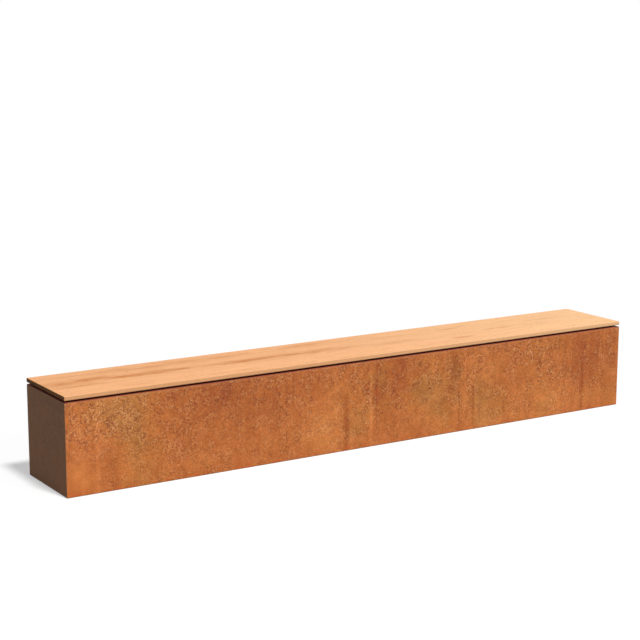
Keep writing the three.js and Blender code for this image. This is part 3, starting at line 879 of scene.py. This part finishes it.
# %% Shape a rib and set twelve round the pad
rib_count = 12
rib_half_mm = 0.8
rib_round_mm = 0.2
rib_outline = [(neck_mm - 1, 7.0), (neck_mm - 1, 10.9), (12.4, 10.0), (18.6, 5.7), (20.4, 4.3), (20.4, 2.4)]
rib = bpy.data.meshes.new("rib")
count = len(rib_outline)
rib.from_pydata([(r * mm, side * rib_half_mm * mm, z * mm) for side in (-1, 1) for r, z in rib_outline], [],
                [tuple(range(count))[::-1], tuple(range(count, 2 * count))]
                + [(k, (k + 1) % count, (k + 1) % count + count, k + count) for k in range(count)])
rib_shape = bmesh.new()
rib_shape.from_mesh(rib)
bmesh.ops.bevel(rib_shape, geom=rib_shape.edges[:], offset=rib_round_mm * mm, segments=2, affect="EDGES")
bmesh.ops.recalc_face_normals(rib_shape, faces=rib_shape.faces)
rib_shape.to_mesh(rib)
rib_shape.free()

tree, given = new_tree("set_round_an_axis", {"Count": "Int", "Finish": "Material"})
spots = add(tree, "GeometryNodeMeshLine", {"Count": given["Count"], "Offset": (0, 0, 0)})
number = add(tree, "GeometryNodeInputIndex")
share = add(tree, "Math", {0: number, 1: given["Count"]}, operation="DIVIDE")
angle = add(tree, "Math", {0: share, 1: 2 * math.pi}, operation="MULTIPLY")
turn = add(tree, "CombineXYZ", {2: angle})
ring = add(tree, "GeometryNodeInstanceOnPoints", {
    "Points": spots, "Instance": given["Geometry"], "Rotation": turn})
ring_tree = end_tree(tree, ring, given["Finish"])
ribs = grown("pad_ribs", ring_tree, rib, {"Count": rib_count, "Finish": nylon})
print("ribs:", len(ribs.polygons), "faces")

# %% Set the six feet in place
for foot in range(1, 7):
    low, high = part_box(f"foot_pad_{foot}")
    place = Vector(((low.x + high.x) / 2, (low.y + high.y) / 2, 0))
    fit(joined(f"ribbed_pad_{foot}", [pad_body, ribs], place), f"pad_{foot}", [f"foot_pad_{foot}"])
    fit(joined(f"threaded_stud_{foot}", [stud_foot, stud_thread], place), f"stud_{foot}",
        [f"foot_stud_{foot}"])

# %% [markdown]
# ## Screws and lock nuts
# Eighteen screws hold the boards from below, and six nuts lock the studs. Each kind is made once and a
# tree copies it onto a cloud of points, one at the middle of each screw or nut of the model.

# %% The tree that copies a part onto points
tree, given = new_tree("copy_onto_points", {"Part": "Object", "Finish": "Material"})
part = add(tree, "GeometryNodeObjectInfo", {"Object": given["Part"]}).outputs["Geometry"]
copies = add(tree, "GeometryNodeInstanceOnPoints", {"Points": given["Geometry"], "Instance": part})
copy_tree = end_tree(tree, copies, given["Finish"])


def foot_of(name):
    """The middle of a node's lowest face."""
    low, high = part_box(name)
    return ((low.x + high.x) / 2, (low.y + high.y) / 2, low.z)


def copied(name, part_mesh, node_names, finish):
    """One mesh with a copy of a part at the foot of each node."""
    points = bpy.data.meshes.new(name + "_points")
    points.from_pydata([foot_of(node_name) for node_name in node_names], [], [])
    model = put(name + "_model", part_mesh)
    mesh = grown(name, copy_tree, points, {"Part": model, "Finish": finish})
    bpy.data.objects.remove(model)
    return mesh

# %% Make the screws
screw_names = [name for name in nodes if name.startswith("seat_screw")]
screw_mm = 5
screw_pitch_mm = 2.2
screw_depth_mm = 0.8
screw_length_mm = 20
head_mm = 3
shank_mm = 3
thread_low_mm = head_mm + shank_mm
screw_head = turned("screw_head", [
    (0, 1.6, 0), (3, 1.6, 3), (3, 0.25, 3), (1.95, 0, 0), (3.4, 0, 0), (4.3, 0.25, 0), (4.85, 0.8, 0),
    (5, 1.5, 0), (5, head_mm - 0.2, 0), (4.8, head_mm, 0), (screw_mm / 2, head_mm, 0),
    (screw_mm / 2, thread_low_mm, 0), (0, thread_low_mm, 0)], sides=48, material=stainless)
screw_thread = thread("screw_thread", screw_mm, screw_pitch_mm, screw_depth_mm,
                      screw_length_mm - shank_mm, columns=16, finish=stainless)
screw_thread.transform(Matrix.Translation((0, 0, thread_low_mm * mm)))
screw = joined("screw", [screw_head, screw_thread], (0, 0, 0))
fit(copied("seat_screws", screw, screw_names, stainless), "bench_body", screw_names)

# %% Make the lock nuts
nut_names = [name for name in nodes if name.startswith("lock_nut")]
nut_flats_mm = 18
nut_low, nut_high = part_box(nut_names[0])
nut_height_mm = (nut_high.z - nut_low.z) / mm
nut_corner_mm = nut_flats_mm / 2 / math.cos(math.pi / 6)
nut_face_mm = nut_flats_mm / 2 - 0.4
bore_mm = stud_mm / 2 + 0.1
nut = turned("lock_nut", [
    (bore_mm, chamfer_mm, 0), (bore_mm + chamfer_mm, 0, 0), (nut_face_mm, 0, 0),
    (nut_corner_mm, 1.0, nut_flats_mm), (nut_corner_mm, nut_height_mm - 1.0, nut_flats_mm),
    (nut_face_mm, nut_height_mm, 0), (bore_mm + chamfer_mm, nut_height_mm, 0),
    (bore_mm, nut_height_mm - chamfer_mm, 0)], sides=72, material=stainless)
fit(copied("lock_nuts", nut, nut_names, stainless), "bench_body", nut_names)

# %% [markdown]
# ## Welds
# The four folded walls meet at mitred corners. A welder runs a bead down the inside of each, and closes the
# outside with a fine seam that is ground flush, so that the corner looks cut from one block. The bearers
# are welded where they cross the edge of the top flange. A bead is a round rod swept along its path, with
# a small step every two millimetres where the weld pool froze.

# %% The weld bead's tree
tree, given = new_tree("weld_bead", {
    "Radius": "Float", "Ripple": "Float", "Ripple Depth": "Float", "Step": "Float", "Sides": "Int",
    "Seed": "Int", "Finish": "Material"})
path = add(tree, "GeometryNodeMeshToCurve", {0: given["Geometry"]})
fine = add(tree, "GeometryNodeResampleCurve", {"Curve": path, "Length": given["Step"]}, mode="LENGTH")
travelled = add(tree, "GeometryNodeSplineParameter").outputs["Length"]
pools = add(tree, "Math", {0: travelled, 1: given["Ripple"]}, operation="DIVIDE")
pool = add(tree, "Math", {0: pools}, operation="FRACT")
shrink = add(tree, "Math", {0: pool, 1: given["Ripple Depth"]}, operation="MULTIPLY")
wander = add(tree, "TexNoise", {
    "Vector": add(tree, "GeometryNodeInputPosition"), "W": given["Seed"], "Scale": 90.0},
    noise_dimensions="4D")
swell = add(tree, "MapRange", {0: wander, 1: 0.3, 2: 0.7, 3: 0.92, 4: 1.0})
width = add(tree, "Math", {0: swell, 1: shrink}, operation="SUBTRACT")
rod = add(tree, "GeometryNodeCurvePrimitiveCircle", {"Resolution": given["Sides"], "Radius": given["Radius"]})
bead = add(tree, "GeometryNodeCurveToMesh", {
    "Curve": fine, "Profile Curve": rod, "Scale": width, "Fill Caps": True})
weld_tree = end_tree(tree, bead, given["Finish"])


def weld(name, paths, radius_mm, ripple_depth, step_mm, sides, seed, finish):
    """Sweeps a bead along each path of points, and makes all of them one piece of the bench."""
    points = []
    edges = []
    for path_points in paths:
        start = len(points)
        points += path_points
        edges += [(start + k, start + k + 1) for k in range(len(path_points) - 1)]
    course = bpy.data.meshes.new(name + "_course")
    course.from_pydata(points, edges, [])
    beads = grown(name, weld_tree, course, {
        "Radius": radius_mm * mm, "Ripple": 2.0 * mm, "Ripple Depth": ripple_depth, "Step": step_mm * mm,
        "Sides": sides, "Seed": seed, "Finish": finish})
    fit(beads, "bench_body")

# %% Run the corner welds
bend_mm = 4
top_flange_mm = 55
base_flange_mm = 30
bend_steps = 4
bead_inset_mm = sheet_mm + 0.4
seam_inset_mm = 0.36


def corner_paths(inset_mm):
    """For each corner, the path along its mitre: in the top flange, down the corner, in the base flange."""
    arc_mm = bend_mm - inset_mm
    top_mm = wall_top / mm
    turns = [math.radians(90 * k / bend_steps) for k in range(bend_steps + 1)]
    profile = [(top_flange_mm, top_mm - inset_mm)]
    profile += [(bend_mm - arc_mm * math.sin(t), top_mm - bend_mm + arc_mm * math.cos(t)) for t in turns]
    profile += [(bend_mm - arc_mm * math.cos(t), bend_mm - arc_mm * math.sin(t)) for t in turns]
    profile += [(base_flange_mm, inset_mm)]
    return [[(side_x * (bench_high.x - inward * mm), side_y * (bench_high.y - inward * mm), level * mm)
             for inward, level in profile] for side_x in (-1, 1) for side_y in (-1, 1)]


weld("inside_corner_welds", corner_paths(bead_inset_mm), radius_mm=2.3, ripple_depth=0.16, step_mm=0.5,
     sides=10, seed=4, finish=inner_steel)
weld("ground_corner_seams", corner_paths(seam_inset_mm), radius_mm=0.35, ripple_depth=0.0, step_mm=1.0,
     sides=8, seed=5, finish=steel)

# %% Run the bearer welds
from_bearer_mm = 0.6
from_corner_mm = 4
bearer_names = [name for name in nodes if name.startswith("seat_bearer")]
bearer_paths = []
for name in bearer_names:
    low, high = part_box(name)
    level = low.z - from_bearer_mm * mm
    for side in (-1, 1):
        edge = side * (bench_high.y - (top_flange_mm + from_bearer_mm) * mm)
        bearer_paths.append([(low.x + from_corner_mm * mm, edge, level),
                             (high.x - from_corner_mm * mm, edge, level)])
weld("bearer_welds", bearer_paths, radius_mm=2.0, ripple_depth=0.18, step_mm=0.5, sides=10, seed=6,
     finish=inner_steel)
